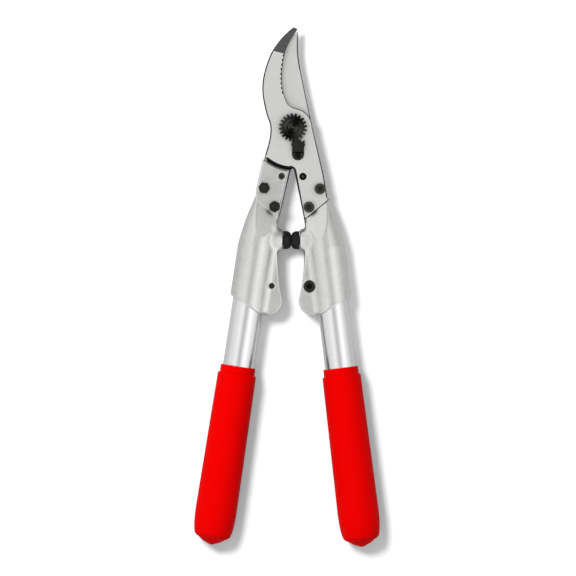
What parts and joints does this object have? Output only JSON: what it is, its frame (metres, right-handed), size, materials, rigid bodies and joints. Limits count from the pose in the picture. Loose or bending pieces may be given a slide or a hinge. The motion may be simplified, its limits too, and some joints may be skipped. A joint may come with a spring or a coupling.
{
  "type": "lopper",
  "caption": "Compact two-hand bypass lopper: hooked counter-blade, curved cutting blade, toothed pivot nut, cast handle heads with rubber stops, aluminium tubes and straight grips.",
  "frame": {"origin": "middle of the pivot bolt's flat back face", "axes": "+Y from the grips to the blade tips, +Z out of the front face, where the toothed nut is, +X to the right as seen from the front"},
  "size_m": [0.1434, 0.4003, 0.032],
  "materials": {
    "blade_steel": "satin, ground, with a darkened ground tip",
    "head_aluminium": "forged and fine blasted",
    "tube_aluminium": "drawn and satin anodised",
    "black_hardware": "blackened",
    "rubber": "moulded, matte",
    "grip": "soft moulded, semi-matte"
  },
  "bodies": {
    "counter_half": {"counter_blade": "blade_steel", "counter_blade_bolt_upper": "black_hardware", "counter_blade_bolt_lower": "black_hardware", "counter_blade_nut_upper": "black_hardware", "counter_blade_nut_lower": "black_hardware", "counter_blade_pin": "black_hardware", "right_handle_head": "head_aluminium", "right_handle_tube": "tube_aluminium", "right_grip": "grip", "right_bumper": "rubber", "right_clamp_bolt": "black_hardware", "pivot_bolt": "black_hardware", "toothed_nut": "black_hardware", "locking_segment": "black_hardware", "segment_screw": "black_hardware"},
    "cutting_half": {"cutting_blade": "blade_steel", "cutting_blade_bolt_upper": "black_hardware", "cutting_blade_bolt_lower": "black_hardware", "cutting_blade_nut_upper": "black_hardware", "cutting_blade_nut_lower": "black_hardware", "cutting_blade_pin": "black_hardware", "left_handle_head": "head_aluminium", "left_handle_tube": "tube_aluminium", "left_grip": "grip", "left_bumper": "rubber", "left_clamp_bolt": "black_hardware"}
  },
  "joints": [
    {"name": "blade_pivot", "type": "hinge", "parent": "counter_half", "child": "cutting_half", "pos_m": [0, 0, 0.00915], "axis": [0, 0, -1], "range_deg": [0, 70]}
  ]
}
